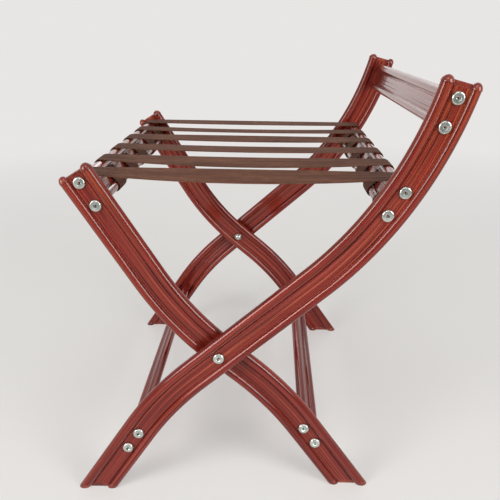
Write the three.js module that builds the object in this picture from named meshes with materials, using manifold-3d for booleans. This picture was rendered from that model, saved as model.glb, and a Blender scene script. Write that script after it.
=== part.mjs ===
// Folding hotel luggage bench with a back stop: two pairs of bent legs crossing on a pivot, five
// cross rails and six webbing straps.
// Millimetres, +Z up. X runs from the front (-X) to the back stop (+X), Y from the right side (-Y)
// to the left (+Y). Leg distances are measured along the leg from the pivot.
import * as THREE from 'three';
import { mergeVertices } from 'three/addons/utils/BufferGeometryUtils.js';
import Module from 'manifold-3d';

const wasm = await Module();
wasm.setup();

// Leg and seat rail extrusion: a flat web between two round beads, the larger one on top
const SECTION = { upperBead: 7.25, lowerBead: 6.25, web: 3, webHeight: 20.4 };
// Stretchers use a narrower extrusion with equal beads
const STRETCHER = { upperBead: 7.25, lowerBead: 7.25, web: 3, webHeight: 15.8 };

// Frame
const LONG_LEG_SPREAD = 500;    // between the middle planes of the two long legs
const LEG_OFFSET = 16.9;        // from a long leg's middle plane to its short leg's
const PIVOT_HEIGHT = 223.9;
const CROSSING_ANGLE = 40.9;    // slope of both legs at the pivot, degrees
const FOOT_ANGLE = 55.9;        // slope of both legs at the floor
const LOWER_STRAIGHT = 45;      // from the pivot down to the lower bend
const LOWER_BEND = 121;         // length of the lower bend
const SHORT_BEND = 142;         // length of the short leg's upper bend, which starts at the pivot
const SHORT_TOP_ANGLE = 59.3;
const SHORT_REACH = 299.5;      // pivot to the short leg's upper end
const LONG_STRAIGHT = 166;      // pivot to the long leg's upper bend
const LONG_BEND_RADIUS = 497;
const LONG_REACH = 456.5;       // pivot to the long leg's upper end

// Places of the rails, each the leg distance of the rail's web middle
const TOP_TO_SEAT_RAIL = 25.9;      // from the short leg's upper end
const TOP_TO_BACK_RAIL = 29.9;      // from the long leg's upper end
const BACK_STOP_RISE = 119.1;       // from the rear seat rail up to the back rail
const FRONT_SEAT_RAIL = SHORT_REACH - TOP_TO_SEAT_RAIL;
const BACK_RAIL = LONG_REACH - TOP_TO_BACK_RAIL;
const REAR_SEAT_RAIL = BACK_RAIL - BACK_STOP_RISE;
const STRETCHERS = -187.5;

// Fasteners
const BOLT_HEAD = { radius: 8, rim: 1, flat: 5.8, height: 3.4 };
const BOLT_SHANK = { radius: 3, length: 24 };
const SOCKET = { radius: 2.9, depth: 2.2 };
const PIVOT_SHANK = 4;          // radius
const SPACER_RADIUS = 9;
const NUT = { radius: 7.5, height: 6.5, dome: 4.5 };

// End caps
const TOP_CAP = { web: 5.5, dome: 7.2 };
const FOOT_CAP = 6;             // thickness on the floor
const PEG = { radius: 3, length: 11 };

// Straps
const STRAP_COUNT = 6;
const STRAP_SIDE_GAP = 1.85;    // from an end strap to the short leg's bead beside it
const STRAP_WIDTH = 38;
const STRAP_THICKNESS = 1.8;
const STRAP_SAG = 3;
const STRAP_TIP_GAP = 1;        // from the strap's tip to the upper bead, along the web

const GAP = 0.3;                // between touching pieces
const ROUND = 7;                // straight pieces per bead arc
const SPAN_PIECES = 10;         // straight pieces along a strap's span
const BOLT_SIDES = 8;
const PIVOT_SIDES = 12;         // enough for the legs to turn freely on the shank
const LEG_STEP = 48;            // longest straight piece along a bent leg

const WOOD = { color: 0x8c3226, roughness: 0.22, metalness: 0.1 };
const CAP_FINISH = { color: 0x8f3a22, roughness: 0.35, metalness: 0 };
const ZINC = { color: 0xc8c8c2, roughness: 0.28, metalness: 1 };
const NYLON = { color: 0x2b2523, roughness: 0.6, metalness: 0 };
const WEBBING = { color: 0x61433a, roughness: 0.85, metalness: 0 };

const radians = THREE.MathUtils.degToRad;
const longPlane = LONG_LEG_SPREAD / 2;
const shortPlane = longPlane - LEG_OFFSET;
const frame = new THREE.Group();
const up = new THREE.Vector3(0, 1, 0);

// Booleans
function solid(geometry) {
  const bare = geometry.clone();
  bare.deleteAttribute('normal');
  bare.deleteAttribute('uv');
  const merged = mergeVertices(bare, 1e-4);
  return new wasm.Manifold(new wasm.Mesh({
    numProp: 3,
    vertProperties: new Float32Array(merged.attributes.position.array),
    triVerts: new Uint32Array(merged.index.array),
  }));
}

function geometryOf(body) {
  const mesh = body.getMesh();
  const geometry = new THREE.BufferGeometry();
  geometry.setAttribute('position', new THREE.BufferAttribute(mesh.vertProperties, 3));
  geometry.setIndex(new THREE.BufferAttribute(mesh.triVerts, 1));
  geometry.computeVertexNormals();
  return geometry;
}

function cut(geometry, tools) {
  return geometryOf(tools.reduce((body, tool) => body.subtract(solid(tool)), solid(geometry)));
}

function join(geometries) {
  const [first, ...rest] = geometries.map(solid);
  return geometryOf(rest.reduce((body, next) => body.add(next), first));
}

function add(name, geometry, finish, y = 0) {
  const mesh = new THREE.Mesh(geometry, new THREE.MeshStandardMaterial(finish));
  mesh.name = name;
  mesh.position.y = y;
  frame.add(mesh);
}

// Extrusion section: its origin is the web's middle, +y runs to the upper bead
function beadCentres(section) {
  return {
    upper: section.webHeight / 2 + section.upperBead,
    lower: -section.webHeight / 2 - section.lowerBead,
  };
}

function sectionShape(section, upSign = 1) {
  const { upper, lower } = beadCentres(section);
  const [top, bottom] = upSign > 0 ? [upper, lower] : [-lower, -upper];
  const [topBead, bottomBead] = upSign > 0
    ? [section.upperBead, section.lowerBead] : [section.lowerBead, section.upperBead];
  const topJoint = Math.asin(section.web / 2 / topBead);
  const bottomJoint = Math.asin(section.web / 2 / bottomBead);
  const shape = new THREE.Shape();
  shape.absarc(0, top, topBead, -Math.PI / 2 + topJoint, Math.PI * 1.5 - topJoint, false);
  shape.absarc(0, bottom, bottomBead, Math.PI / 2 + bottomJoint, Math.PI * 2.5 - bottomJoint, false);
  shape.closePath();
  return shape;
}

// Legs: the middle line as lengths and turns, walked up or down from the pivot
const lowerBends = [[LOWER_STRAIGHT, 0], [LOWER_BEND, radians(FOOT_ANGLE - CROSSING_ANGLE)], [Infinity, 0]];
const longBend = LONG_REACH - LONG_STRAIGHT;
const LEGS = {
  short: {
    side: -1,
    plane: shortPlane,
    reach: SHORT_REACH,
    upperBends: [[SHORT_BEND, radians(SHORT_TOP_ANGLE - CROSSING_ANGLE)], [Infinity, 0]],
  },
  long: {
    side: 1,
    plane: longPlane,
    reach: LONG_REACH,
    upperBends: [[LONG_STRAIGHT, 0], [longBend, longBend / LONG_BEND_RADIUS], [Infinity, 0]],
  },
};

function station(leg, distance) {
  const direction = Math.sign(distance) || 1;
  let left = Math.abs(distance);
  let heading = radians(CROSSING_ANGLE);
  let x = 0;
  let z = PIVOT_HEIGHT;
  for (const [length, turn] of direction > 0 ? leg.upperBends : lowerBends) {
    const run = Math.min(left, length);
    const turned = turn === 0 ? 0 : turn * run / length;
    const chord = turned === 0 ? run : run * Math.sin(turned / 2) / (turned / 2);
    x += direction * chord * Math.cos(heading + turned / 2);
    z += direction * chord * Math.sin(heading + turned / 2);
    heading += turned;
    left -= run;
    if (left <= 0) break;
  }
  const along = new THREE.Vector3(leg.side * Math.cos(heading), 0, Math.sin(heading));
  const normal = new THREE.Vector3(-leg.side * Math.sin(heading), 0, Math.cos(heading));
  return { point: new THREE.Vector3(leg.side * x, 0, z), along, normal };
}

class LegLine extends THREE.Curve {
  constructor(leg, from, to) {
    super();
    Object.assign(this, { leg, from, to });
  }

  getPoint(t, target = new THREE.Vector3()) {
    return target.copy(station(this.leg, THREE.MathUtils.lerp(this.from, this.to, t)).point);
  }
}

// A leg distance safely below the floor, where the foot is cut level
const overrun = PIVOT_HEIGHT + 60;
const footDistance = -LOWER_STRAIGHT - LOWER_BEND - overrun;

function sweptLeg(leg) {
  const line = new LegLine(leg, footDistance, leg.reach);
  const shape = sectionShape(SECTION, -leg.side);
  const steps = Math.ceil((leg.reach - footDistance) / LEG_STEP);
  return new THREE.ExtrudeGeometry(shape, {
    steps, extrudePath: line, bevelEnabled: false, curveSegments: ROUND,
  });
}

// A round rod along a direction, from a point, its sides few
function rod(radius, from, direction, length, sides = BOLT_SIDES) {
  const geometry = new THREE.CylinderGeometry(radius, radius, length, sides);
  geometry.translate(0, length / 2, 0);
  geometry.applyQuaternion(new THREE.Quaternion().setFromUnitVectors(up, direction));
  geometry.translate(from.x, from.y, from.z);
  return geometry;
}

function slab(bottom, top) {
  const reach = 4 * LONG_LEG_SPREAD;
  const geometry = new THREE.BoxGeometry(reach, reach, top - bottom);
  geometry.translate(0, 0, (top + bottom) / 2);
  return geometry;
}

// Points where the two bead axes of a leg cross the plane through a station
function beadPoints(leg, place) {
  const { upper, lower } = beadCentres(SECTION);
  return [upper, lower].map((offset) => place.point.clone().addScaledVector(place.normal, offset));
}

// The leg distance where the straight foot reaches a height
function footAt(leg, height) {
  const low = station(leg, -LOWER_STRAIGHT - LOWER_BEND);
  return -LOWER_STRAIGHT - LOWER_BEND - (low.point.z - height) / low.along.z;
}

// Rods along each bead's axis at the foot, from a level plane, starting a lead below it
function footRods(leg, height, radius, length, lead) {
  const place = station(leg, footAt(leg, height));
  return beadPoints(leg, place).map((point) => {
    const toPlane = (height - point.z) / place.along.z;
    const start = point.clone().addScaledVector(place.along, toPlane - lead);
    return rod(radius, start, place.along, length + lead, 8);
  });
}

// Rails bolted between a pair of legs
const RAILS = {
  front_seat_rail: { leg: LEGS.short, distance: FRONT_SEAT_RAIL, section: SECTION },
  rear_seat_rail: { leg: LEGS.long, distance: REAR_SEAT_RAIL, section: SECTION },
  back_rail: { leg: LEGS.long, distance: BACK_RAIL, section: SECTION },
  front_stretcher: { leg: LEGS.long, distance: STRETCHERS, section: STRETCHER },
  rear_stretcher: { leg: LEGS.short, distance: STRETCHERS, section: STRETCHER },
};

// Where the rail's two bead axes, and so its bolts, lie
function boltPoints(rail) {
  const place = station(rail.leg, rail.distance);
  const { upper, lower } = beadCentres(rail.section);
  return {
    upper: place.point.clone().addScaledVector(place.along, upper),
    lower: place.point.clone().addScaledVector(place.along, lower),
  };
}

function legGeometry(leg) {
  const wide = 4 * leg.plane;
  const across = (point, radius, sides) =>
    rod(radius, new THREE.Vector3(point.x, -wide / 2, point.z), up, wide, sides);
  const holes = Object.values(RAILS)
    .filter((rail) => rail.leg === leg)
    .flatMap((rail) => Object.values(boltPoints(rail)))
    .map((point) => across(point, BOLT_SHANK.radius + GAP));
  holes.push(across(station(leg, 0).point, PIVOT_SHANK + GAP, PIVOT_SIDES));
  const top = station(leg, leg.reach);
  const bore = PEG.radius + GAP;
  const depth = PEG.length + GAP;
  const topBores = beadPoints(leg, top).map((point) =>
    rod(bore, point.addScaledVector(top.along, GAP), top.along.clone().negate(), depth + GAP, 8));
  const floor = FOOT_CAP + GAP;
  const footBores = footRods(leg, floor, bore, depth, 2 * bore);
  return cut(sweptLeg(leg), [
    slab(-overrun - PIVOT_HEIGHT, floor), ...holes, ...topBores, ...footBores,
  ]);
}

// A dome over each bead, a bridge over the web and a peg in each bead's bore
function topCapGeometry(leg) {
  const top = station(leg, leg.reach + GAP);
  const { upper, lower } = beadCentres(SECTION);
  const dome = (radius, offset) => {
    const profile = [
      new THREE.Vector2(0, -PEG.length), new THREE.Vector2(PEG.radius, -PEG.length),
      new THREE.Vector2(PEG.radius, 0), new THREE.Vector2(radius, 0),
    ];
    const rings = 3;
    for (let i = 1; i <= rings; i += 1) {
      const angle = Math.PI / 2 * i / rings;
      const width = i === rings ? 0 : radius * Math.cos(angle);
      profile.push(new THREE.Vector2(width, TOP_CAP.dome * Math.sin(angle)));
    }
    return new THREE.LatheGeometry(profile, 10).translate(offset, 0, 0);
  };
  const bridge = new THREE.BoxGeometry(upper - lower, TOP_CAP.web, SECTION.web);
  bridge.translate((upper + lower) / 2, TOP_CAP.web / 2, 0);
  const cap = join([bridge, dome(SECTION.upperBead, upper), dome(SECTION.lowerBead, lower)]);
  const across = top.normal.clone().cross(top.along);
  const turn = new THREE.Matrix4().makeBasis(top.normal, top.along, across);
  return cap.applyMatrix4(turn.setPosition(top.point));
}

// The foot cap carries the leg's section down to the floor, with a peg in each bead's bore
function footCapGeometry(leg) {
  const pegs = footRods(leg, FOOT_CAP, PEG.radius, PEG.length, FOOT_CAP / 2);
  const sole = geometryOf(solid(sweptLeg(leg)).intersect(solid(slab(0, FOOT_CAP))));
  return join([sole, ...pegs]);
}

function railGeometry(rail) {
  const half = rail.leg.plane - SECTION.web / 2 - GAP;
  const place = station(rail.leg, rail.distance);
  const bar = new THREE.ExtrudeGeometry(sectionShape(rail.section), {
    depth: 2 * half, bevelEnabled: false, curveSegments: ROUND,
  });
  bar.translate(0, 0, -half);
  const thick = place.along.clone().cross(up);
  bar.applyMatrix4(new THREE.Matrix4().makeBasis(thick, place.along, up).setPosition(place.point));
  const depth = BOLT_SHANK.length - SECTION.web;
  const bores = Object.values(boltPoints(rail)).flatMap((point) => [-1, 1].map((side) => {
    const mouth = new THREE.Vector3(point.x, side * (half + GAP), point.z);
    return rod(BOLT_SHANK.radius + GAP, mouth, up.clone().multiplyScalar(-side), depth + GAP);
  }));
  return cut(bar, bores);
}

// Flat bevel-headed bolt along Y, its head's seat at y = 0 and its shank towards -Y
function boltGeometry(shankRadius, shankLength, sides) {
  const { radius, rim, flat, height } = BOLT_HEAD;
  const profile = [
    new THREE.Vector2(0, -shankLength), new THREE.Vector2(shankRadius, -shankLength),
    new THREE.Vector2(shankRadius, 0), new THREE.Vector2(radius, 0), new THREE.Vector2(radius, rim),
    new THREE.Vector2(flat, height), new THREE.Vector2(0, height),
  ];
  const head = new THREE.LatheGeometry(profile, sides);
  const socket = rod(SOCKET.radius, new THREE.Vector3(0, height - SOCKET.depth, 0), up, SOCKET.depth + 1, 6);
  return cut(head, [socket]);
}

function placed(geometry, side, point, y) {
  const copy = geometry.clone();
  if (side < 0) copy.rotateX(Math.PI);
  return copy.translate(point.x, side * y, point.z);
}

// Cap nut on the inner end of the pivot, its seat at y = 0, its dome towards -Y
function nutGeometry(holeDepth) {
  const hex = new THREE.CylinderGeometry(NUT.radius, NUT.radius, NUT.height, 6);
  hex.translate(0, -NUT.height / 2, 0);
  const rings = 3;
  const overlap = 1;
  const profile = [new THREE.Vector2(0, -NUT.height - NUT.dome)];
  for (let i = 1; i <= rings; i += 1) {
    const angle = Math.PI / 2 * i / rings;
    const width = NUT.radius * 0.8 * Math.sin(angle);
    profile.push(new THREE.Vector2(width, -NUT.height - NUT.dome * Math.cos(angle)));
  }
  profile.push(new THREE.Vector2(NUT.radius * 0.8, -NUT.height + overlap));
  profile.push(new THREE.Vector2(0, -NUT.height + overlap));
  const dome = new THREE.LatheGeometry(profile, BOLT_SIDES);
  const mouth = new THREE.Vector3(0, 1, 0);
  const hole = rod(PIVOT_SHANK + GAP, mouth, up.clone().negate(), holeDepth + GAP + 1, PIVOT_SIDES);
  return cut(join([hex, dome]), [hole]);
}

// Strap in side view (x, z): a sagging span, and at each end a turn round the seat rail with the
// strap's end held on the rail's web, under the upper bead
function strapPrism(shape) {
  const prism = new THREE.ExtrudeGeometry(shape, { depth: STRAP_WIDTH, bevelEnabled: false });
  return prism.rotateX(Math.PI / 2).translate(0, STRAP_WIDTH / 2, 0);
}

function arcPoints(centre, radius, from, to, pieces) {
  const points = [];
  for (let i = 0; i <= pieces; i += 1) {
    const angle = from + (to - from) * i / pieces;
    points.push(new THREE.Vector2(centre.x + radius * Math.cos(angle), centre.z + radius * Math.sin(angle)));
  }
  return points;
}

// One end of a strap, a distance off the rail: from the tip on the web, round the lower bead, up the
// outside and over the upper bead to the span. Side is 1 at the front and -1 at the rear.
function strapEnd(rail, side, spanAngle, offset) {
  const { upper, lower } = boltPoints(rail);
  const { upperBead, lowerBead, web, webHeight } = rail.section;
  const axis = new THREE.Vector2(upper.x - lower.x, upper.z - lower.z);
  const lean = axis.angle();
  const outside = side * (Math.PI / 2 + Math.asin((lowerBead - upperBead) / axis.length()));
  // the tip from the lower bead's middle, away from the web and along it
  const tip = new THREE.Vector2(web / 2 + GAP, lowerBead + webHeight - STRAP_TIP_GAP);
  const grip = lowerBead + GAP;
  const inside = side * (Math.atan2(tip.x, tip.y) + Math.acos(grip / tip.length()));
  const climb = Math.sqrt(tip.lengthSq() - grip ** 2);
  const leave = lean - inside;
  const way = leave + side * Math.PI / 2;
  const round = arcPoints(lower, lowerBead + offset, leave, lean + outside - side * 2 * Math.PI, 2 * ROUND);
  const over = arcPoints(upper, upperBead + offset, lean + outside, Math.PI / 2 + spanAngle, ROUND);
  const end = new THREE.Vector2(round[0].x + climb * Math.cos(way), round[0].y + climb * Math.sin(way));
  return [end, ...round, ...over];
}

// The span's lower face: a parabola between the tops of the two upper beads
function spanLine() {
  const front = boltPoints(RAILS.front_seat_rail).upper;
  const rear = boltPoints(RAILS.rear_seat_rail).upper;
  const frontLift = RAILS.front_seat_rail.section.upperBead + GAP;
  const rearLift = RAILS.rear_seat_rail.section.upperBead + GAP;
  const chord = rear.x - front.x;
  const slope = (rear.z - front.z) / chord;
  const dip = 4 * STRAP_SAG / chord;
  const angles = { front: Math.atan(slope - dip), rear: Math.atan(slope + dip) };
  const leave = (bead, lift, angle) =>
    new THREE.Vector2(bead.x - lift * Math.sin(angle), bead.z + lift * Math.cos(angle));
  const from = leave(front, frontLift, angles.front);
  const to = leave(rear, rearLift, angles.rear);
  const point = (share, lift) => {
    const sag = 4 * STRAP_SAG * share * (1 - share);
    return new THREE.Vector2(
      from.x + (to.x - from.x) * share, from.y + (to.y - from.y) * share - sag + lift);
  };
  return { angles, point };
}

function strapGeometry() {
  const line = spanLine();
  const face = (lift) => {
    const points = strapEnd(RAILS.front_seat_rail, 1, line.angles.front, GAP + lift);
    for (let i = 1; i < SPAN_PIECES; i += 1) points.push(line.point(i / SPAN_PIECES, lift));
    const rear = strapEnd(RAILS.rear_seat_rail, -1, line.angles.rear, GAP + lift);
    return points.concat(rear.reverse());
  };
  const outline = face(0).concat(face(STRAP_THICKNESS).reverse());
  return join([strapPrism(new THREE.Shape(outline))]);
}

const SIDES = { right: -1, left: 1 };

function addLegs() {
  for (const [kind, leg] of Object.entries(LEGS)) {
    const legSolid = legGeometry(leg);
    const topCap = topCapGeometry(leg);
    const footCap = footCapGeometry(leg);
    for (const [sideName, side] of Object.entries(SIDES)) {
      add(`${kind}_leg_${sideName}`, legSolid, WOOD, side * leg.plane);
      add(`${kind}_leg_${sideName}_top_cap`, topCap, CAP_FINISH, side * leg.plane);
      add(`${kind}_leg_${sideName}_foot_cap`, footCap, CAP_FINISH, side * leg.plane);
    }
  }
}

function addRails() {
  const bolt = boltGeometry(BOLT_SHANK.radius, BOLT_SHANK.length, BOLT_SIDES);
  for (const [name, rail] of Object.entries(RAILS)) {
    add(name, railGeometry(rail), WOOD);
    const seat = rail.leg.plane + SECTION.web / 2 + GAP;
    for (const [sideName, side] of Object.entries(SIDES)) {
      for (const [level, point] of Object.entries(boltPoints(rail))) {
        add(`${name}_bolt_${sideName}_${level}`, placed(bolt, side, point, seat), ZINC);
      }
    }
  }
}

function addPivots() {
  const centre = station(LEGS.long, 0).point;
  const outside = longPlane + SECTION.web / 2 + GAP;
  const inside = shortPlane - SECTION.web / 2 - GAP;
  const nutGrip = NUT.height - 1;
  const shank = outside - inside + nutGrip;
  const bolt = boltGeometry(PIVOT_SHANK, shank, PIVOT_SIDES);
  const nut = nutGeometry(nutGrip);
  const spacerLength = LEG_OFFSET - SECTION.web - 2 * GAP;
  const middle = (longPlane + shortPlane) / 2;
  const sleeve = rod(SPACER_RADIUS, new THREE.Vector3(0, -spacerLength / 2, 0), up, spacerLength, 16);
  const through = new THREE.Vector3(0, -spacerLength, 0);
  const bore = rod(PIVOT_SHANK + GAP, through, up, 2 * spacerLength, PIVOT_SIDES);
  const spacer = cut(sleeve, [bore]);
  for (const [sideName, side] of Object.entries(SIDES)) {
    add(`pivot_bolt_${sideName}`, placed(bolt, side, centre, outside), ZINC);
    add(`pivot_spacer_${sideName}`, placed(spacer, side, centre, middle), NYLON);
    add(`pivot_nut_${sideName}`, placed(nut, side, centre, inside), ZINC);
  }
}

// The straps share the width between the short legs evenly
function addStraps() {
  const strap = strapGeometry();
  const outermost = shortPlane - SECTION.upperBead - STRAP_SIDE_GAP - STRAP_WIDTH / 2;
  const pitch = 2 * outermost / (STRAP_COUNT - 1);
  for (let i = 0; i < STRAP_COUNT; i += 1) {
    add(`strap_${i + 1}`, strap, WEBBING, i * pitch - outermost);
  }
}

addLegs();
addRails();
addPivots();
addStraps();

// The origin is the middle of the object's outer box, on the floor
const box = new THREE.Box3().setFromObject(frame);
const bench = new THREE.Group();
frame.position.x = -(box.min.x + box.max.x) / 2;
bench.add(frame);

export default bench;
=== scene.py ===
"""Looks of a folding hotel luggage bench: bent wood-grain legs that cross on a pivot, five cross rails,
zinc bolts and six webbing straps. Sizes are in millimetres until a mesh is made, which is in metres.
X runs from the front to the back stop, Y from the right side to the left, Z up."""
import math

import bpy
import numpy as np
from mathutils import Matrix


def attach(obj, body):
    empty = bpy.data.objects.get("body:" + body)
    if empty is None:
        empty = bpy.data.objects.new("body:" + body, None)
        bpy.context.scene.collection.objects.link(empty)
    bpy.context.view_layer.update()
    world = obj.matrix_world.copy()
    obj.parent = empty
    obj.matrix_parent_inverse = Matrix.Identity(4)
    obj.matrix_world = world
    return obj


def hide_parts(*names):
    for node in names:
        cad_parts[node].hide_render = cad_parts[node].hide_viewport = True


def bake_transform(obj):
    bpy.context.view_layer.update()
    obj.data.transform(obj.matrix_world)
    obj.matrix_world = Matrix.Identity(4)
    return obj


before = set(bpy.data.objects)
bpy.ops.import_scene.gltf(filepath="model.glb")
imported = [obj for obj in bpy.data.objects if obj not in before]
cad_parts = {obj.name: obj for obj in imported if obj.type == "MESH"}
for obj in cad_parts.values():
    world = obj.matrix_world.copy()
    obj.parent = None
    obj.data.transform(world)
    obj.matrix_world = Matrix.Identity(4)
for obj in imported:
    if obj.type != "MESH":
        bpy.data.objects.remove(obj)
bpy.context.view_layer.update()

MM = 0.001
GAP = 0.3                # between touching pieces
SEAM = 0.03              # cap against leg
POLE = 0.05              # least radius, at the end of a turned shape
SHARP_ANGLE = math.radians(38)
WAVE_BAND = 0.314        # width of one band of a wave texture at scale 1

# Extrusions: a flat web between two round beads, grooved on legs and rails, plain on stretchers
GROOVES = (
    # share of the web's half height, half width, depth
    (-0.95, 0.6, 0.6),
    (-0.50, 0.5, 0.3),
    (0.10, 0.5, 0.3),
    (0.95, 0.6, 0.6),
)
LEG_SECTION = {"upper": 7.25, "lower": 6.25, "web": 3.0, "height": 20.4, "grooves": GROOVES}
STRETCHER_SECTION = {"upper": 7.25, "lower": 7.25, "web": 3.0, "height": 15.8, "grooves": ()}
FILLET = 0.3
WEB_POINTS = 61
UPPER_POINTS = 26
LOWER_POINTS = 22
FILLET_POINTS = 6

# Legs, as distances along the leg from the pivot
PIVOT_X = -43.046
PIVOT_Z = 223.9
CROSSING = math.radians(40.9)
LOWER_BENDS = ((45.0, 0.0), (121.0, math.radians(15.0)), (math.inf, 0.0))
LEGS = {
    "short": {
        "side": -1,
        "plane": 233.1,
        "reach": 299.5,
        "bends": ((142.0, math.radians(18.4)), (math.inf, 0.0)),
    },
    "long": {
        "side": 1,
        "plane": 250.0,
        "reach": 456.5,
        "bends": ((166.0, 0.0), (290.5, 290.5 / 497.0), (math.inf, 0.0)),
    },
}
SIDES = {"right": -1, "left": 1}
LEG_ROWS = 121
FOOT_CAP = 6.0
TOP_CAP_DOME = 9.0
TOP_CAP_SKIRT = 0.8
TOP_CAP_RIM = 0.6        # height at which the skirt is widest
TOP_CAP_TUCK = 0.25      # how far the skirt's foot lies within the bead
TOP_CAP_EDGE = 1.2
DOME_COLUMNS = 36
TOP_CAP_WEB = 5.5
TOP_CAP_LIP = 0.5        # domes stand out past the beads

RAILS = {
    "front_seat_rail": {"leg": "short", "at": 273.6, "section": LEG_SECTION},
    "rear_seat_rail": {"leg": "long", "at": 307.5, "section": LEG_SECTION},
    "back_rail": {"leg": "long", "at": 426.6, "section": LEG_SECTION},
    "front_stretcher": {"leg": "long", "at": -187.5, "section": STRETCHER_SECTION},
    "rear_stretcher": {"leg": "short", "at": -187.5, "section": STRETCHER_SECTION},
}
RAIL_EASE = 0.3
BODY_OF_LEG = {"short": "inner_frame", "long": "outer_frame"}

# Fasteners
HEAD_RADIUS = 8.0
HEAD_FLAT = 5.8
HEAD_RIM = 1.0
HEAD_HEIGHT = 3.4
HEAD_EASE = 0.3
BEVEL_POWER = 1.4       # how late the bevel turns in
SHANK_CHAMFER = 0.8
SHANK = {"radius": 3.0, "length": 24.0}
PIVOT_SHANK = {"radius": 4.0, "length": 25.9}
SOCKET_FLATS = 2.5      # half the distance across the flats
SOCKET_DEPTH = 3.6
SOCKET_LEAD = 0.35      # the socket's mouth is this much wider
SOCKET_DRILL = {"radius": 1.6, "depth": 0.8}
TURNED_COLUMNS = 48
NUT_FLATS = 6.5         # half the distance across the flats
NUT_HEIGHT = 6.5
NUT_BASE_CHAMFER = 0.7
NUT_TOP_CHAMFER = 1.0
NUT_TOP_STEP = 0.2
NUT_NECK_STEP = 0.3
NUT_DOME = 4.5
SPACER_RADIUS = 9.0
SPACER_LENGTH = 13.3
SPACER_PLANE = 241.55
SPACER_CHAMFER = 0.6

# Straps
STRAP_PITCH = 82.0
STRAP_PLACES = tuple(STRAP_PITCH * (i - 2.5) for i in range(6))
STRAP_WIDTH = 38.0
STRAP_THICKNESS = 1.8
STRAP_SAGS = (4.0, 4.4, 2.8, 1.5, 2.5, 0.7)
STRAP_TILTS = (4.5, 2.8, 0.6, 1.6, -0.4, 0.6)   # how much lower the right edge hangs at mid span
STRAP_TIP_GAP = 1.0      # from a tip to the upper bead, along the web
TIP_POINTS = 8
UNDER_POINTS = 30
OVER_POINTS = 26
SPAN_POINTS = 49
STRAP_FACE_POINTS = 73
RIB_PITCH = 9.5
RIB_DEPTH = 0.35
PICK_PITCH = 2.0         # coarser than real weft, so that it shows
UNDARKENED_REACH = 145.0      # from a strap's middle to where it starts to darken
DARKEST_REACH = 180.0     # and to where it is darkest

# Shifts of the grain between pieces, so that no two look alike, in metres
LEG_GRAIN_STEP = 0.37
SIDE_GRAIN_STEP = 0.19
RAIL_GRAIN_START = 1.3
RAIL_GRAIN_STEP = 0.41
STRAP_GRAIN_STEP = 0.23

# Camera, fitted to the photograph's edges
PHOTO_SIZE = 500.0
FOCAL_PIXELS = 574.5
CAMERA_PLACE = (25.35, -914.8, 638.0)
CAMERA_YAW = math.radians(-2.18)
CAMERA_PITCH = math.radians(21.25)
CAMERA_ROLL = math.radians(-0.42)

# Studio, in metres and watts
PALE = "e8e6e4"
FILL_LIGHT = 0.32
FLOOR_RINGS = (0.02, 0.4, 1.0, 3.0, 10.0, 40.0)
FLOOR_COLUMNS = 96
SOFT_BOXES = (
    # name, place, target, width, height, power
    ("left_soft_box", (-1.8, -1.6, 1.1), (0, -0.25, 0.3), 0.93, 1.4, 36),
    ("right_soft_box", (1.8, -1.6, 1.1), (0, -0.25, 0.3), 0.93, 1.4, 36),
    ("upper_soft_box", (0.0, -1.3, 2.1), (0, 0.1, 0.3), 1.4, 1.0, 11),
    ("back_soft_box", (0.0, 1.9, 1.6), (0, 0, 0.3), 1.4, 0.8, 8),
)


def linear(code):
    """An sRGB hex colour as linear red, green, blue and alpha."""
    channels = [int(code[i:i + 2], 16) / 255 for i in (0, 2, 4)]
    low = [c / 12.92 for c in channels]
    high = [((c + 0.055) / 1.055) ** 2.4 for c in channels]
    return tuple(l if c <= 0.04045 else h for c, l, h in zip(channels, low, high)) + (1.0,)


def add_node(tree, kind, values=None, links=None, **settings):
    """Adds one node, with its settings, its sockets' values and its links."""
    node = tree.nodes.new(kind)
    for key, value in settings.items():
        setattr(node, key, value)
    for socket, value in (values or {}).items():
        node.inputs[socket].default_value = value
    for socket, source in (links or {}).items():
        tree.links.new(source, node.inputs[socket])
    return node


def new_material(name, **shader_values):
    """A material with one Principled shader, and that shader and its tree."""
    material = bpy.data.materials.new(name)
    material.use_nodes = True
    tree = material.node_tree
    tree.nodes.clear()
    values = {key.replace("_", " "): value for key, value in shader_values.items()}
    shader = add_node(tree, "ShaderNodeBsdfPrincipled", values=values)
    add_node(tree, "ShaderNodeOutputMaterial", links={"Surface": shader.outputs[0]})
    return material, tree, shader


def ramp(tree, source, stops):
    """A colour ramp through (place, hex) stops."""
    node = add_node(tree, "ShaderNodeValToRGB", links={"Fac": source})
    points = node.color_ramp.elements
    while len(points) < len(stops):
        points.new(0.5)
    for point, (place, code) in zip(points, stops):
        point.position = place
        point.color = linear(code)
    return node.outputs["Color"]


def streaks(tree, uv, length, width, roughness=0.5):
    """Noise drawn out along the grain: one cell is length by width, in millimetres."""
    scale = (1 / (length * MM), 1 / (width * MM), 1.0)
    stretched = add_node(tree, "ShaderNodeMapping", values={"Scale": scale}, links={"Vector": uv})
    noise = add_node(
        tree, "ShaderNodeTexNoise",
        values={"Scale": 1.0, "Detail": 2.0, "Roughness": roughness},
        links={"Vector": stretched.outputs[0]},
    )
    return noise.outputs["Fac"]


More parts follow.
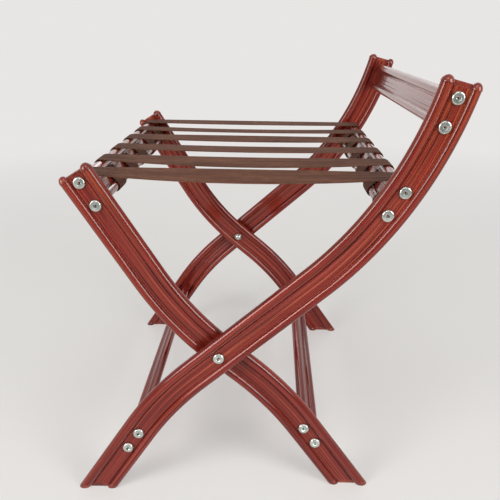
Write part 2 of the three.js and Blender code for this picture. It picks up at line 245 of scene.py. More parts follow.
def wood_grain_film(name, film_gloss, lacquer_ior, embossing, pore_strength):
    """Printed mahogany film under clear lacquer on aluminium: long red-brown streaks, orange ones that
    grow more common towards the top, thin dark pores, and a gloss that turns pale at a grazing
    angle. The rails have a thicker, smoother lacquer and the stretchers a thin one."""
    material, tree, shader = new_material(
        name, Roughness=0.25, IOR=1.4, Specular_IOR_Level=film_gloss,
        Coat_Weight=1.0, Coat_Roughness=0.08, Coat_IOR=lacquer_ior,
    )
    uv = add_node(tree, "ShaderNodeUVMap", uv_map="grain").outputs[0]
    broad = streaks(tree, uv, length=700.0, width=6.0)
    fine = streaks(tree, uv, length=400.0, width=2.2, roughness=0.6)
    # pores are drawn 1.3 mm wide, coarser than real ones, so that they show
    pores = streaks(tree, uv, length=160.0, width=1.3)
    figure = add_node(
        tree, "ShaderNodeMix", values={"Factor": 0.62}, links={"A": broad, "B": fine})
    red = ramp(tree, figure.outputs[0], (
        (0.36, "4a0d0a"), (0.46, "6e1f18"), (0.54, "7f281e"), (0.64, "984030")))
    # orange streaks, laid more thickly the higher up the piece they are
    place = add_node(tree, "ShaderNodeTexCoord").outputs["Object"]
    height = add_node(tree, "ShaderNodeSeparateXYZ", links={"Vector": place}).outputs["Z"]
    upper = add_node(
        tree, "ShaderNodeMapRange",
        values={"From Min": 0.15, "From Max": 0.50, "To Min": 0.1, "To Max": 0.5},
        links={"Value": height})
    amber_band = streaks(tree, uv, length=500.0, width=4.0)
    amber_mask = add_node(
        tree, "ShaderNodeMapRange",
        values={"From Min": 0.50, "From Max": 0.66}, links={"Value": amber_band})
    amber_share = add_node(
        tree, "ShaderNodeMath", operation="MULTIPLY",
        links={0: upper.outputs[0], 1: amber_mask.outputs[0]})
    warm = add_node(
        tree, "ShaderNodeMix", data_type="RGBA", values={"B": linear("a4552f")},
        links={"Factor": amber_share.outputs[0], "A": red})
    pore_mask = add_node(
        tree, "ShaderNodeMapRange",
        values={"From Min": 0.54, "From Max": 0.63, "To Max": pore_strength}, links={"Value": pores})
    pored = add_node(
        tree, "ShaderNodeMix", data_type="RGBA", values={"B": linear("3a0d0a")},
        links={"Factor": pore_mask.outputs[0], "A": warm.outputs["Result"]})
    tree.links.new(pored.outputs["Result"], shader.inputs["Base Color"])
    emboss = add_node(
        tree, "ShaderNodeBump", values={"Strength": embossing, "Distance": 0.0002},
        links={"Height": pores})
    tree.links.new(emboss.outputs[0], shader.inputs["Normal"])
    return material


def moulded_cap():
    """Injection-moulded ABS cap, dyed to match the film: warmer and plainer, with a soft mottle."""
    material, tree, shader = new_material(
        "moulded_abs_cap", Roughness=0.24, IOR=1.46, Coat_Weight=0.4, Coat_Roughness=0.1)
    place = add_node(tree, "ShaderNodeTexCoord").outputs["Object"]
    mottle = add_node(
        tree, "ShaderNodeTexNoise", values={"Scale": 1 / (14 * MM), "Detail": 3.0},
        links={"Vector": place})
    colour = ramp(tree, mottle.outputs["Fac"], (
        (0.35, "581510"), (0.52, "782a1c"), (0.70, "8e3e24")))
    tree.links.new(colour, shader.inputs["Base Color"])
    grain = add_node(
        tree, "ShaderNodeTexNoise", values={"Scale": 1 / (0.8 * MM)}, links={"Vector": place})
    bump = add_node(
        tree, "ShaderNodeBump", values={"Strength": 0.05, "Distance": 0.0002},
        links={"Height": grain.outputs["Fac"]})
    tree.links.new(bump.outputs[0], shader.inputs["Normal"])
    return material


def zinc_plate():
    """Bright zinc-plated steel: pale metal with a faint blue-green passivation and fine tool marks."""
    material, tree, shader = new_material("bright_zinc_plated_steel", Metallic=1.0)
    place = add_node(tree, "ShaderNodeTexCoord").outputs["Object"]
    clouds = add_node(
        tree, "ShaderNodeTexNoise", values={"Scale": 1 / (6 * MM), "Detail": 2.0},
        links={"Vector": place})
    colour = ramp(tree, clouds.outputs["Fac"], ((0.35, "b9c4bd"), (0.65, "d9dad4")))
    tree.links.new(colour, shader.inputs["Base Color"])
    dull = add_node(
        tree, "ShaderNodeMapRange", values={"To Min": 0.2, "To Max": 0.36},
        links={"Value": clouds.outputs["Fac"]})
    tree.links.new(dull.outputs[0], shader.inputs["Roughness"])
    marks = add_node(
        tree, "ShaderNodeTexNoise", values={"Scale": 1 / (0.7 * MM)}, links={"Vector": place})
    bump = add_node(
        tree, "ShaderNodeBump", values={"Strength": 0.08, "Distance": 0.0001},
        links={"Height": marks.outputs["Fac"]})
    tree.links.new(bump.outputs[0], shader.inputs["Normal"])
    return material


def turned_nylon():
    """Dark turned nylon spacer: satin, with faint rings left by the tool."""
    material, tree, shader = new_material("turned_nylon", IOR=1.53)
    place = add_node(tree, "ShaderNodeTexCoord").outputs["Object"]
    rings = add_node(
        tree, "ShaderNodeTexWave", bands_direction="Y",
        values={"Scale": WAVE_BAND / (0.9 * MM), "Distortion": 0.4}, links={"Vector": place})
    colour = ramp(tree, rings.outputs["Fac"], ((0.0, "26201e"), (1.0, "342c29")))
    tree.links.new(colour, shader.inputs["Base Color"])
    dull = add_node(
        tree, "ShaderNodeMapRange", values={"To Min": 0.45, "To Max": 0.6},
        links={"Value": rings.outputs["Fac"]})
    tree.links.new(dull.outputs[0], shader.inputs["Roughness"])
    return material


def woven_webbing():
    """Polyester webbing: warp ribs run along it, and each is crossed by close weft picks that sit
    half a step apart on neighbouring ribs. Dull brown with a slight fuzz, darker towards its ends,
    where it turns round the rails."""
    material, tree, shader = new_material(
        "woven_polyester_webbing", Roughness=0.8, Specular_IOR_Level=0.2,
        Sheen_Weight=0.06, Sheen_Roughness=0.5, Sheen_Tint=linear("b08a78"))
    uv = add_node(tree, "ShaderNodeUVMap", uv_map="grain").outputs[0]
    grain = add_node(tree, "ShaderNodeSeparateXYZ", links={"Vector": uv})
    rib = add_node(
        tree, "ShaderNodeMath", operation="MULTIPLY",
        values={1: 1 / (RIB_PITCH * MM)}, links={0: grain.outputs["Y"]})
    rib_number = add_node(tree, "ShaderNodeMath", operation="FLOOR", links={0: rib.outputs[0]})
    shift = add_node(
        tree, "ShaderNodeMath", operation="MULTIPLY",
        values={1: PICK_PITCH / 2 * MM}, links={0: rib_number.outputs[0]})
    along = add_node(
        tree, "ShaderNodeMath", operation="ADD",
        links={0: grain.outputs["X"], 1: shift.outputs[0]})
    staggered = add_node(tree, "ShaderNodeCombineXYZ", links={"X": along.outputs[0]})
    picks = add_node(
        tree, "ShaderNodeTexWave", bands_direction="X",
        values={"Scale": WAVE_BAND / (PICK_PITCH * MM)}, links={"Vector": staggered.outputs[0]})
    threads = streaks(tree, uv, length=14.0, width=0.7, roughness=0.6)
    faded = streaks(tree, uv, length=90.0, width=12.0)
    tone = add_node(
        tree, "ShaderNodeMix", values={"Factor": 0.45}, links={"A": threads, "B": faded})
    brown = ramp(tree, tone.outputs[0], (
        (0.32, "472b20"), (0.50, "664131"), (0.68, "825a46")))
    lit = add_node(
        tree, "ShaderNodeMapRange", values={"To Min": 0.78, "To Max": 1.08},
        links={"Value": picks.outputs["Fac"]})
    # darker towards both ends of the strap, where it turns round the rails
    distance = add_node(
        tree, "ShaderNodeMath", operation="ABSOLUTE", links={0: grain.outputs["X"]})
    darker_ends = add_node(
        tree, "ShaderNodeMapRange",
        values={"From Min": UNDARKENED_REACH * MM, "From Max": DARKEST_REACH * MM,
                "To Min": 1.0, "To Max": 0.7},
        links={"Value": distance.outputs[0]})
    shade = add_node(
        tree, "ShaderNodeMath", operation="MULTIPLY", links={0: lit.outputs[0], 1: darker_ends.outputs[0]})
    colour = add_node(
        tree, "ShaderNodeMix", data_type="RGBA", blend_type="MULTIPLY", values={"Factor": 1.0},
        links={"A": brown, "B": shade.outputs[0]})
    tree.links.new(colour.outputs["Result"], shader.inputs["Base Color"])
    height = add_node(
        tree, "ShaderNodeMath", operation="ADD",
        links={0: picks.outputs["Fac"], 1: threads})
    bump = add_node(
        tree, "ShaderNodeBump", values={"Strength": 0.5, "Distance": 0.0005},
        links={"Height": height.outputs[0]})
    tree.links.new(bump.outputs[0], shader.inputs["Normal"])
    return material


def shell_faces(points):
    """Faces of a grid whose rows are closed rings: a quad between each two rings, and one flat face
    over each end ring. Turned outwards by the sign of the volume they enclose."""
    rows, columns = points.shape[:2]
    row = np.arange(rows - 1)[:, None]
    column = np.arange(columns)[None, :]
    after = (column + 1) % columns
    quads = np.stack(
        [row * columns + column, row * columns + after,
         (row + 1) * columns + after, (row + 1) * columns + column], axis=-1).reshape(-1, 4)
    flat = points.reshape(-1, 3) - points.reshape(-1, 3).mean(axis=0)
    a, b, c, d = (flat[quads[:, k]] for k in range(4))
    volume = (a * np.cross(b, c)).sum() + (a * np.cross(c, d)).sum()
    for ring, sign in ((flat[:columns], -1), (flat[-columns:], 1)):
        middle = ring.mean(axis=0)
        volume += sign * (middle * np.cross(ring, np.roll(ring, -1, axis=0))).sum()
    first = np.arange(columns)[::-1]
    last = np.arange(columns) + (rows - 1) * columns
    if volume < 0:
        return quads[:, ::-1], first[::-1], last[::-1]
    return quads, first, last


def make_piece(name, shells, material):
    """One mesh object from shells. A shell is (points, grain): points is a grid of closed rings in
    millimetres, grain a grid of the same rows and one more column, in metres."""
    places, faces, grains, start = [], [], [], 0
    for points, grain in shells:
        rows, columns = points.shape[:2]
        quads, first, last = shell_faces(points)
        row, column = quads // columns, quads % columns
        wrapped = (column == 0) & (column.max(axis=1) == columns - 1)[:, None]
        grains.append(grain[row, np.where(wrapped, columns, column)].reshape(-1, 2))
        grains.append(grain[0, first])
        grains.append(grain[-1, last % columns])
        faces += (quads + start).tolist() + [(first + start).tolist(), (last + start).tolist()]
        places.append(points.reshape(-1, 3) * MM)
        start += rows * columns
    mesh = bpy.data.meshes.new(name)
    mesh.from_pydata(np.concatenate(places).tolist(), [], faces)
    layer = mesh.uv_layers.new(name="grain")
    layer.data.foreach_set("uv", np.concatenate(grains).astype(np.float32).ravel())
    mesh.materials.append(material)
    mesh.polygons.foreach_set("use_smooth", [True] * len(faces))
    mesh.set_sharp_from_angle(angle=SHARP_ANGLE)
    mesh.update()
    piece = bpy.data.objects.new(name, mesh)
    bpy.context.scene.collection.objects.link(piece)
    return piece


def dress(node, shells, material, body):
    """A finer piece that stands for a CAD node and rides on its body."""
    piece = make_piece("fine_" + node, shells, material)
    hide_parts(node)
    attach(piece, body)


def arc(centre, radius, start, stop, count):
    """Points on a circle from one angle to another, in radians."""
    angle = np.linspace(start, stop, count)
    return np.stack([centre[0] + radius * np.cos(angle), centre[1] + radius * np.sin(angle)], axis=-1)


def bead_places(section):
    """Heights of the two bead centres above the web's middle."""
    half = section["height"] / 2
    return half + section["upper"], -half - section["lower"]


def section_outline(section, inset=0.0):
    """Closed outline (across, up): the upper bead's arc, a fillet, the web with shallow grooves, a
    fillet and the lower bead's arc down one side, then the mirror image up the other side."""
    top, bottom = bead_places(section)
    upper, lower = section["upper"] - inset, section["lower"] - inset
    web = section["web"] / 2 - inset
    side = web + FILLET
    drop = math.sqrt((upper + FILLET) ** 2 - side ** 2)
    rise = math.sqrt((lower + FILLET) ** 2 - side ** 2)
    upper_end = math.atan2(-drop, side)
    lower_end = math.atan2(rise, side)
    web_up = np.linspace(top - drop, bottom + rise, WEB_POINTS)[1:-1]
    half = (top - drop - bottom - rise) / 2
    middle = (top - drop + bottom + rise) / 2
    depth = np.zeros_like(web_up)
    for share, half_width, groove_depth in section["grooves"]:
        depth += groove_depth * np.clip(1 - ((web_up - middle - share * half) / half_width) ** 2, 0, 1)
    right = np.concatenate([
        arc((0, top), upper, math.pi / 2, upper_end, UPPER_POINTS),
        arc((side, top - drop), FILLET, upper_end + math.pi, math.pi, FILLET_POINTS)[1:],
        np.stack([web - depth, web_up], axis=-1),
        arc((side, bottom + rise), FILLET, math.pi, math.pi + lower_end, FILLET_POINTS),
        arc((0, bottom), lower, lower_end, -math.pi / 2, LOWER_POINTS)[1:],
    ])
    left = right[-2:0:-1] * (-1, 1)
    return np.concatenate([right, left])


def round_lengths(outline):
    """Distance round a closed outline to each point, and to the first point again."""
    steps = np.linalg.norm(np.roll(outline, -1, axis=0) - outline, axis=1)
    return np.concatenate([[0.0], np.cumsum(steps)])


def walk(bends, distance, direction):
    """Place and heading at a distance from the pivot, along arcs of a given length and turn."""
    left = np.asarray(distance, float).copy()
    x, z = np.zeros_like(left), np.zeros_like(left)
    heading = np.full_like(left, CROSSING)
    for length, turn in bends:
        run = np.minimum(left, length)
        turned = turn * run / length
        chord = direction * run * np.sinc(turned / (2 * math.pi))
        x += chord * np.cos(heading + turned / 2)
        z += chord * np.sin(heading + turned / 2)
        heading += turned
        left -= run
    return x, z, heading


def station(kind, distance):
    """Place of a leg's middle line at a distance, with the directions along it and up off it."""
    leg = LEGS[kind]
    distance = np.asarray(distance, float)
    above = walk(leg["bends"], np.maximum(distance, 0), 1)
    below = walk(LOWER_BENDS, np.maximum(-distance, 0), -1)
    x, z, heading = (np.where(distance >= 0, u, d) for u, d in zip(above, below))
    point = np.stack([PIVOT_X + leg["side"] * x, PIVOT_Z + z], axis=-1)
    along = np.stack([leg["side"] * np.cos(heading), np.sin(heading)], axis=-1)
    normal = np.stack([-leg["side"] * np.sin(heading), np.cos(heading)], axis=-1)
    return point, along, normal


def foot_distance(kind, height, up):
    """Leg distance at which a line of the section, up from its middle, comes down to a height."""
    bend_end = -sum(length for length, _ in LOWER_BENDS[:2])
    point, along, normal = station(kind, bend_end)
    return bend_end + (height - point[1] - up * normal[1]) / along[1]


def swept(kind, plane, outline, distances):
    """The section's outline carried along a leg: one leg distance for each row and outline point."""
    point, _, normal = station(kind, distances)
    side_view = point + normal * outline[None, :, 1:]
    across = np.broadcast_to(plane + outline[:, 0], distances.shape)
    return np.stack([side_view[..., 0], across, side_view[..., 1]], axis=-1)


def grain_map(lengths, rounds, offset):
    """Grain coordinates in metres: along the piece, and round its section."""
    along = np.broadcast_to(np.asarray(lengths, float)[:, None], (len(lengths), len(rounds)))
    return np.stack([along * MM + offset, np.broadcast_to(rounds * MM + offset, along.shape)], axis=-1)


def leg_shell(kind, plane, offset):
    """A leg: its section swept from the level cut over the foot cap to its upper end."""
    outline = section_outline(LEG_SECTION)
    start = foot_distance(kind, FOOT_CAP + SEAM, outline[:, 1])
    share = np.linspace(0, 1, LEG_ROWS)[:, None]
    distances = start + (LEGS[kind]["reach"] - start) * share
    grain = grain_map(distances.mean(axis=1), round_lengths(outline), offset)
    return swept(kind, plane, outline, distances), grain


def foot_cap_shell(kind, plane, offset):
    """The foot cap: the section carried down to the floor, its lower edge drawn in."""
    # height, inset
    levels = ((0.0, 0.7), (0.3, 0.2), (0.9, 0.0), (FOOT_CAP - 0.4, 0.0), (FOOT_CAP, 0.2))
    rings = []
    for height, inset in levels:
        outline = section_outline(LEG_SECTION, inset)
        distance = foot_distance(kind, height, outline[:, 1])[None, :]
        rings.append(swept(kind, plane, outline, distance)[0])
    rounds = round_lengths(section_outline(LEG_SECTION))
    grain = grain_map([height for height, _ in levels], rounds, offset)
    return np.stack(rings), grain


def revolved(profile, centre, axis, first, second, columns, grain_offset=0.0):
    """A profile of (radius, height) pairs turned about an axis. A radius may differ round the turn."""
    angle = np.arange(columns) * 2 * math.pi / columns
    ring = np.outer(np.cos(angle), first) + np.outer(np.sin(angle), second)
    radius = np.stack([np.broadcast_to(r, angle.shape) for r, _ in profile])
    height = np.array([h for _, h in profile])
    points = np.asarray(centre) + radius[..., None] * ring + height[:, None, None] * np.asarray(axis)
    grain = grain_map(height, np.arange(columns + 1) * 1.0, grain_offset)
    return points, grain


def in_side_view(pair, y=0.0):
    """A side-view pair as a point or direction in space."""
    return np.array([pair[0], y, pair[1]])


def top_cap_shells(kind, plane, offset):
    """The top cap: an elliptical dome on a short skirt over each bead, and a rounded bar between."""
    point, along, normal = station(kind, LEGS[kind]["reach"] + SEAM)
    along, up = in_side_view(along), in_side_view(normal)
    across = np.array([0.0, 1.0, 0.0])
    shells = []
    dome = TOP_CAP_DOME - TOP_CAP_SKIRT
    turn = np.linspace(0, math.pi / 2, 14)[:-1]
    for radius, place in zip((LEG_SECTION["upper"], LEG_SECTION["lower"]), bead_places(LEG_SECTION)):
        wide = radius + TOP_CAP_LIP
        profile = [(radius - TOP_CAP_TUCK, 0.0), (wide, TOP_CAP_RIM)]
        profile += [(wide * math.cos(t), TOP_CAP_SKIRT + dome * math.sin(t)) for t in turn]
        profile.append((POLE, TOP_CAP_DOME))
        centre = in_side_view(point, plane) + up * place
        shells.append(revolved(profile, centre, along, up, across, DOME_COLUMNS, offset))
    half = LEG_SECTION["web"] / 2
    edge = TOP_CAP_EDGE
    bar = np.concatenate([
        [(half, 0.0)],
        arc((half - edge, TOP_CAP_WEB - edge), edge, 0.0, math.pi / 2, 7),
        arc((edge - half, TOP_CAP_WEB - edge), edge, math.pi / 2, math.pi, 7),
        [(-half, 0.0)],
    ])
    upper, lower = bead_places(LEG_SECTION)
    places = np.linspace(lower, upper, 3)
    base = in_side_view(point, plane) + places[:, None, None] * up
    points = base + bar[None, :, :1] * across + bar[None, :, 1:] * along
    shells.append((points, grain_map(places, round_lengths(bar), offset)))
    return shells


def rail_frame(name):
    """Middle of a rail in side view, with the direction along its leg and off its flat face."""
    rail = RAILS[name]
    return station(rail["leg"], rail["at"])


def rail_shell(name, offset):
    """A rail: its section drawn straight across between the webs of its two legs, ends eased."""
    rail = RAILS[name]
    middle, along, normal = rail_frame(name)
    half = LEGS[rail["leg"]]["plane"] - LEG_SECTION["web"] / 2 - GAP
    inner = half - RAIL_EASE
    places = ((-half, RAIL_EASE), (-inner, 0.0), (0.0, 0.0), (inner, 0.0), (half, RAIL_EASE))
    rings = []
    for y, inset in places:
        outline = section_outline(rail["section"], inset)
        flat = middle + outline[:, 1:] * along + outline[:, :1] * normal
        rings.append(np.stack([flat[:, 0], np.full(len(flat), y), flat[:, 1]], axis=-1))
    rounds = round_lengths(section_outline(rail["section"]))
    return np.stack(rings), grain_map([y for y, _ in places], rounds, offset)


def bolt_places(name):
    """Side-view places of a rail's two bolts, on the axes of its beads."""
    middle, along, _ = rail_frame(name)
    upper, lower = bead_places(RAILS[name]["section"])
    return {"upper": middle + upper * along, "lower": middle + lower * along}


def hexagon(flats, columns):
    """Radius of a hexagon at each angle round it, from half the distance across its flats."""
    angle = np.arange(columns) * 2 * math.pi / columns
    return flats / np.cos((angle + math.pi / 6) % (math.pi / 3) - math.pi / 6)


def bolt_shell(place, seat, side, shank):
    """Flat-head bolt: shank, seat, short rim, rounded bevel, flat top and a hexagon socket with a
    drilled bottom, turned about Y. Its seat is at y = seat on that side."""
    hexes = hexagon(SOCKET_FLATS, TURNED_COLUMNS)
    radius, length = shank["radius"], shank["length"]
    sweep = np.linspace(0, 1, 9)
    bevel = [(HEAD_RADIUS - (HEAD_RADIUS - HEAD_FLAT) * s ** BEVEL_POWER,
              HEAD_RIM + (HEAD_HEIGHT - HEAD_RIM) * math.sin(s * math.pi / 2)) for s in sweep]
    floor = HEAD_HEIGHT - SOCKET_DEPTH
    profile = [(radius - SHANK_CHAMFER, -length), (radius, SHANK_CHAMFER - length),
               (radius, 0.0), (HEAD_RADIUS - HEAD_EASE, 0.0), (HEAD_RADIUS, HEAD_EASE)]
    profile += bevel
    profile += [(hexes + SOCKET_LEAD, HEAD_HEIGHT), (hexes, HEAD_HEIGHT - HEAD_EASE), (hexes, floor),
                (SOCKET_DRILL["radius"], floor), (POLE, floor - SOCKET_DRILL["depth"])]
    centre = in_side_view(place, side * seat)
    return revolved(profile, centre, (0, side, 0), (1, 0, 0), (0, 0, 1), TURNED_COLUMNS)


def nut_shell(place, seat, side):
    """Cap nut: a chamfered hexagon, a neck and a dome, turned about Y towards the inside."""
    hexes = hexagon(NUT_FLATS, TURNED_COLUMNS)
    chamfered = np.minimum(hexes, NUT_FLATS * 1.02)
    neck = NUT_FLATS * 0.88
    foot = NUT_HEIGHT + NUT_NECK_STEP
    dome = NUT_DOME - NUT_NECK_STEP
    turn = np.linspace(0, math.pi / 2, 12)[:-1]
    profile = [(chamfered, 0.0), (hexes, NUT_BASE_CHAMFER), (hexes, NUT_HEIGHT - NUT_TOP_CHAMFER),
               (chamfered, NUT_HEIGHT - NUT_TOP_STEP), (neck, NUT_HEIGHT)]
    profile += [(neck * math.cos(t), foot + dome * math.sin(t)) for t in turn]
    profile.append((POLE, NUT_HEIGHT + NUT_DOME))
    centre = in_side_view(place, side * seat)
    return revolved(profile, centre, (0, -side, 0), (1, 0, 0), (0, 0, 1), TURNED_COLUMNS)


def spacer_shell(place, side):
    """Spacer sleeve between the two legs, its ends chamfered."""
    half = SPACER_LENGTH / 2
    narrow = SPACER_RADIUS - SPACER_CHAMFER
    profile = [(narrow, -half), (SPACER_RADIUS, SPACER_CHAMFER - half),
               (SPACER_RADIUS, half - SPACER_CHAMFER), (narrow, half)]
    centre = in_side_view(place, side * SPACER_PLANE)
    return revolved(profile, centre, (0, 1, 0), (1, 0, 0), (0, 0, 1), TURNED_COLUMNS)


def strap_line(sag):
    """Side-view middle line of a strap and how freely it hangs there, from tip to tip: from its tip
    on the front rail's web, under the upper bead, round the lower bead, up the outside, over the
    upper bead, along a parabola to the rear rail, and the same there in reverse."""
    off = GAP + STRAP_THICKNESS / 2
    upper_radius = LEG_SECTION["upper"] + off
    lower_radius = LEG_SECTION["lower"] + off
    beads = {key: bolt_places(key + "_seat_rail") for key in ("front", "rear")}
    chord = beads["rear"]["upper"] - beads["front"]["upper"]
    slope = chord[1] / chord[0]
    dip = 4 * sag / chord[0]
    angles = {"front": math.atan(slope - dip), "rear": math.atan(slope + dip)}
    # the tip from the lower bead's middle, away from the web and along it
    tip = np.array([LEG_SECTION["web"] / 2 + off,
                    LEG_SECTION["lower"] + LEG_SECTION["height"] - STRAP_TIP_GAP])
    climb = math.sqrt(tip @ tip - lower_radius ** 2)
    inside = math.atan2(tip[0], tip[1]) + math.acos(lower_radius / np.linalg.norm(tip))
    ends = {}
    for key, side in (("front", 1), ("rear", -1)):
        upper, lower = beads[key]["upper"], beads[key]["lower"]
        axis = upper - lower
        lean = math.atan2(axis[1], axis[0])
        narrowing = math.asin((lower_radius - upper_radius) / np.linalg.norm(axis))
        outside = lean + side * (math.pi / 2 + narrowing)
        leave = lean - side * inside
        under = arc(lower, lower_radius, leave, outside - side * 2 * math.pi, UNDER_POINTS)
        over = arc(upper, upper_radius, outside, math.pi / 2 + angles[key], OVER_POINTS)
        way = leave + side * math.pi / 2
        end = under[0] + climb * np.array([math.cos(way), math.sin(way)])
        rise = end + (under[0] - end) * np.linspace(0, 1, TIP_POINTS)[:-1, None]
        ends[key] = np.concatenate([rise, under, over])
    start, stop = ends["front"][-1], ends["rear"][-1]
    share = np.linspace(0, 1, SPAN_POINTS)
    span = start + (stop - start) * share[:, None]
    span[:, 1] -= 4 * sag * share * (1 - share)
    whole = np.concatenate([ends["front"][:-1], span, ends["rear"][::-1][1:]])
    reach = np.clip((whole[:, 0] - start[0]) / (stop[0] - start[0]), 0, 1)
    hang = np.where(whole[:, 1] > beads["front"]["upper"][1], 4 * reach * (1 - reach), 0.0)
    return whole, hang


def side_normals(line):
    """Unit normals of a side-view line, to the left of its run."""
    run = np.gradient(line, axis=0)
    run /= np.linalg.norm(run, axis=1)[:, None]
    return np.stack([-run[:, 1], run[:, 0]], axis=-1)


def strap_section():
    """Closed outline of the webbing (across, thick): ribs along both faces and a rounded selvedge."""
    half_width = STRAP_WIDTH / 2
    half_thick = STRAP_THICKNESS / 2
    edge = half_thick * 0.8
    across = np.linspace(edge - half_width, half_width - edge, STRAP_FACE_POINTS)
    rib = 0.5 - 0.5 * np.cos(2 * math.pi * across / RIB_PITCH)
    thick = half_thick - RIB_DEPTH * (1 - rib)
    turn = np.linspace(math.pi / 2, -math.pi / 2, 7)[1:-1]
    rim = thick[-1]
    right = np.stack([half_width - edge + edge * np.cos(turn), rim * np.sin(turn)], axis=-1)
    return np.concatenate([
        np.stack([across, thick], axis=-1),
        right,
        np.stack([across[::-1], -thick[::-1]], axis=-1),
        right[::-1] * (-1, 1),
    ])


def strap_shell(place, sag, tilt, offset):
    """A strap's length and its shell: the webbing's outline carried along its middle line, one edge
    hanging lower than the other between the rails."""
    line, hang = strap_line(sag)
    normal = side_normals(line)
    outline = strap_section()
    flat = line[:, None, :] + normal[:, None, :] * outline[None, :, 1:]
    across = np.broadcast_to(place + outline[:, 0], flat.shape[:2])
    drop = tilt * hang[:, None] * outline[None, :, 0] / (STRAP_WIDTH / 2)
    points = np.stack([flat[..., 0], across, flat[..., 1] + drop], axis=-1)
    lengths = np.concatenate([[0.0], np.cumsum(np.linalg.norm(np.diff(line, axis=0), axis=1))])
    from_middle = lengths - lengths[-1] / 2
    return lengths[-1], (points, grain_map(from_middle, round_lengths(outline) + offset, 0.0))


def build_legs(film, cap):
    """Four legs with their top and foot caps."""
    for number, (kind, leg) in enumerate(LEGS.items()):
        body = BODY_OF_LEG[kind]
        for side_name, side in SIDES.items():
            plane = side * leg["plane"]
            offset = LEG_GRAIN_STEP * number + SIDE_GRAIN_STEP * side
            node = f"{kind}_leg_{side_name}"
            dress(node, [leg_shell(kind, plane, offset)], film, body)
            dress(node + "_top_cap", top_cap_shells(kind, plane, offset), cap, body)
            dress(node + "_foot_cap", [foot_cap_shell(kind, plane, offset)], cap, body)


def build_rails(film, stretcher_film, zinc):
    """Five cross rails, each with two bolts through each leg."""
    for number, (name, rail) in enumerate(RAILS.items()):
        body = BODY_OF_LEG[rail["leg"]]
        finish = stretcher_film if rail["section"] is STRETCHER_SECTION else film
        offset = RAIL_GRAIN_START + RAIL_GRAIN_STEP * number
        dress(name, [rail_shell(name, offset)], finish, body)
        seat = LEGS[rail["leg"]]["plane"] + LEG_SECTION["web"] / 2 + GAP
        for side_name, side in SIDES.items():
            for level, place in bolt_places(name).items():
                shell = bolt_shell(place, seat, side, SHANK)
                dress(f"{name}_bolt_{side_name}_{level}", [shell], zinc, body)


def build_pivots(zinc, nylon):
    """A pivot bolt, spacer and cap nut on each side."""
    place = np.array([PIVOT_X, PIVOT_Z])
    outside = LEGS["long"]["plane"] + LEG_SECTION["web"] / 2 + GAP
    inside = LEGS["short"]["plane"] - LEG_SECTION["web"] / 2 - GAP
    for side_name, side in SIDES.items():
        bolt = bolt_shell(place, outside, side, PIVOT_SHANK)
        dress("pivot_bolt_" + side_name, [bolt], zinc, "outer_frame")
        dress("pivot_nut_" + side_name, [nut_shell(place, inside, side)], zinc, "outer_frame")
        dress("pivot_spacer_" + side_name, [spacer_shell(place, side)], nylon, "outer_frame")


def build_straps(webbing):
    """Six straps, each turned round a rail at both ends."""
    front = bolt_places("front_seat_rail")["upper"] * MM
    rear = bolt_places("rear_seat_rail")["upper"] * MM
    for number, (place, sag, tilt) in enumerate(zip(STRAP_PLACES, STRAP_SAGS, STRAP_TILTS)):
        length, shell = strap_shell(place, sag, tilt, STRAP_GRAIN_STEP / MM * number)
        node = f"strap_{number + 1}"
        piece = make_piece("fine_" + node, [shell], webbing)
        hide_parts(node)
        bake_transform(piece)


def build_camera():
    """A camera from its place, yaw, pitch and roll."""
    forward = np.array([math.sin(CAMERA_YAW) * math.cos(CAMERA_PITCH),
                        math.cos(CAMERA_YAW) * math.cos(CAMERA_PITCH), -math.sin(CAMERA_PITCH)])
    right = np.array([math.cos(CAMERA_YAW), -math.sin(CAMERA_YAW), 0.0])
    upward = np.cross(right, forward)
    turned_right = math.cos(CAMERA_ROLL) * right + math.sin(CAMERA_ROLL) * upward
    turned_up = math.cos(CAMERA_ROLL) * upward - math.sin(CAMERA_ROLL) * right
    data = bpy.data.cameras.new("photo_camera")
    data.sensor_width = 36.0
    data.lens = FOCAL_PIXELS / PHOTO_SIZE * data.sensor_width
    camera = bpy.data.objects.new("photo_camera", data)
    columns = np.stack([turned_right, turned_up, -forward, np.array(CAMERA_PLACE) * MM], axis=-1)
    camera.matrix_world = Matrix(columns.tolist() + [[0, 0, 0, 1]])
    bpy.context.scene.collection.objects.link(camera)
    bpy.context.scene.camera = camera


def soft_box(name, place, target, width, height, power):
    """A rectangular soft light that faces a target."""
    data = bpy.data.lights.new(name, "AREA")
    data.shape = "RECTANGLE"
    data.size, data.size_y = width, height
    data.energy = power
    light = bpy.data.objects.new(name, data)
    back = np.array(place, float) - np.array(target, float)
    back /= np.linalg.norm(back)
    side = np.cross((0, 0, 1), back)
    side /= np.linalg.norm(side)
    columns = np.stack([side, np.cross(back, side), back, np.array(place, float)], axis=-1)
    light.matrix_world = Matrix(columns.tolist() + [[0, 0, 0, 1]])
    light.visible_camera = False
    bpy.context.scene.collection.objects.link(light)


def seen_directly(tree):
    """The light path, and a mask that is 1 for the camera's own rays, reflections and clear materials."""
    path = add_node(tree, "ShaderNodeLightPath")
    mirrored = add_node(tree, "ShaderNodeMath", operation="MAXIMUM", links={
        0: path.outputs["Is Glossy Ray"], 1: path.outputs["Is Transmission Ray"]})
    seen = add_node(tree, "ShaderNodeMath", operation="MAXIMUM", links={
        0: path.outputs["Is Camera Ray"], 1: mirrored.outputs[0]})
    return path, seen.outputs[0]


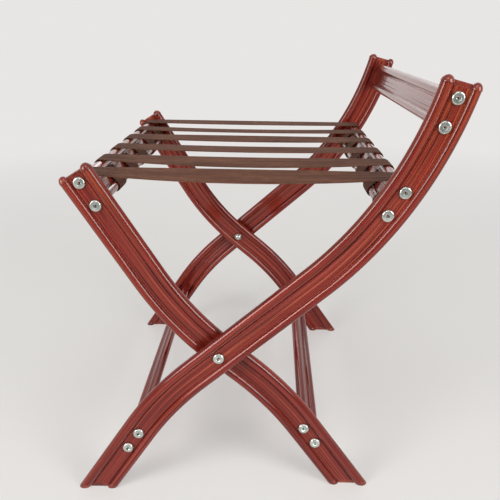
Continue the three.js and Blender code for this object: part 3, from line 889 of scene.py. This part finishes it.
def build_room():
    """Even fill for matt surfaces. Seen directly it is a pale backdrop, and reflections find that
    backdrop bright behind the bench and dimmer on the open side, where a studio has no wall."""
    scene = bpy.context.scene
    scene.view_settings.view_transform = "Standard"
    world = bpy.data.worlds.new("studio")
    scene.world = world
    world.use_nodes = True
    tree = world.node_tree
    tree.nodes.clear()
    path, seen = seen_directly(tree)
    direction = add_node(tree, "ShaderNodeTexCoord").outputs["Generated"]
    backward = add_node(tree, "ShaderNodeSeparateXYZ", links={"Vector": direction}).outputs["Y"]
    wall = add_node(
        tree, "ShaderNodeMapRange",
        values={"From Min": -0.4, "From Max": 0.5, "To Min": 0.3, "To Max": 1.0},
        links={"Value": backward})
    level = add_node(tree, "ShaderNodeMath", operation="MAXIMUM", links={
        0: path.outputs["Is Camera Ray"], 1: wall.outputs[0]})
    fill = add_node(
        tree, "ShaderNodeBackground", values={"Color": linear("ffffff"), "Strength": FILL_LIGHT})
    backdrop = add_node(
        tree, "ShaderNodeBackground", values={"Color": linear(PALE)}, links={"Strength": level.outputs[0]})
    mixed = add_node(tree, "ShaderNodeMixShader", links={
        0: seen, 1: fill.outputs[0], 2: backdrop.outputs[0]})
    add_node(tree, "ShaderNodeOutputWorld", links={"Surface": mixed.outputs[0]})
    for name, place, target, width, height, power in SOFT_BOXES:
        soft_box(name, place, target, width, height, power)


def build_floor():
    """Pale floor, a disc of rings. It keeps the shadow near the bench, and seen directly it runs
    into the backdrop's own colour as it goes back, so that no horizon shows."""
    rows, columns = len(FLOOR_RINGS), FLOOR_COLUMNS
    turn = np.arange(columns) * 2 * math.pi / columns
    points = np.stack([np.outer(FLOOR_RINGS, np.cos(turn)), np.outer(FLOOR_RINGS, np.sin(turn)),
                       np.zeros((rows, columns))], axis=-1)
    row = np.arange(rows - 1)[:, None] * columns
    column = np.arange(columns)[None, :]
    after = (column + 1) % columns
    quads = np.stack([row + column, row + columns + column, row + columns + after, row + after],
                     axis=-1).reshape(-1, 4)
    mesh = bpy.data.meshes.new("floor")
    mesh.from_pydata(points.reshape(-1, 3).tolist(), [], quads.tolist() + [list(range(columns))])
    material, tree, shader = new_material("matt_painted_floor", Roughness=0.8, IOR=1.3)
    place = add_node(tree, "ShaderNodeTexCoord").outputs["Object"]
    cloud = add_node(tree, "ShaderNodeTexNoise", values={"Scale": 1.2}, links={"Vector": place})
    colour = ramp(tree, cloud.outputs["Fac"], ((0.3, "e2dfdb"), (0.7, "e8e5e1")))
    tree.links.new(colour, shader.inputs["Base Color"])
    path, seen = seen_directly(tree)
    far = add_node(tree, "ShaderNodeVectorMath", operation="LENGTH", links={0: place})
    faded = add_node(
        tree, "ShaderNodeMapRange",
        values={"From Min": 0.3, "From Max": 2.5, "To Min": 0.4, "To Max": 1.0},
        links={"Value": far.outputs["Value"]})
    share = add_node(tree, "ShaderNodeMath", operation="MULTIPLY", links={0: seen, 1: faded.outputs[0]})
    forward = add_node(tree, "ShaderNodeSeparateXYZ", links={"Vector": place}).outputs["Y"]
    open_side = add_node(
        tree, "ShaderNodeMapRange",
        values={"From Min": -2.4, "From Max": -1.0, "To Min": 0.3, "To Max": 1.0},
        links={"Value": forward})
    level = add_node(tree, "ShaderNodeMath", operation="MAXIMUM", links={
        0: path.outputs["Is Camera Ray"], 1: open_side.outputs[0]})
    glow = add_node(
        tree, "ShaderNodeEmission", values={"Color": linear(PALE)}, links={"Strength": level.outputs[0]})
    mixed = add_node(tree, "ShaderNodeMixShader", links={
        0: share.outputs[0], 1: shader.outputs[0], 2: glow.outputs[0]})
    output = next(node for node in tree.nodes if node.type == "OUTPUT_MATERIAL")
    tree.links.new(mixed.outputs[0], output.inputs["Surface"])
    mesh.materials.append(material)
    floor = bpy.data.objects.new("floor", mesh)
    bpy.context.scene.collection.objects.link(floor)


build_camera()
build_room()
build_floor()
leg_film = wood_grain_film(
    "lacquered_wood_grain_film",
    film_gloss=0.0, lacquer_ior=1.42, embossing=0.06, pore_strength=0.8)
rail_film = wood_grain_film(
    "thick_lacquered_wood_grain_film",
    film_gloss=0.5, lacquer_ior=1.5, embossing=0.01, pore_strength=0.2)
stretcher_film = wood_grain_film(
    "satin_wood_grain_film",
    film_gloss=0.0, lacquer_ior=1.32, embossing=0.0, pore_strength=0.2)
cap_finish = moulded_cap()
zinc_finish = zinc_plate()
build_legs(leg_film, cap_finish)
build_rails(rail_film, stretcher_film, zinc_finish)
build_pivots(zinc_finish, turned_nylon())
build_straps(woven_webbing())
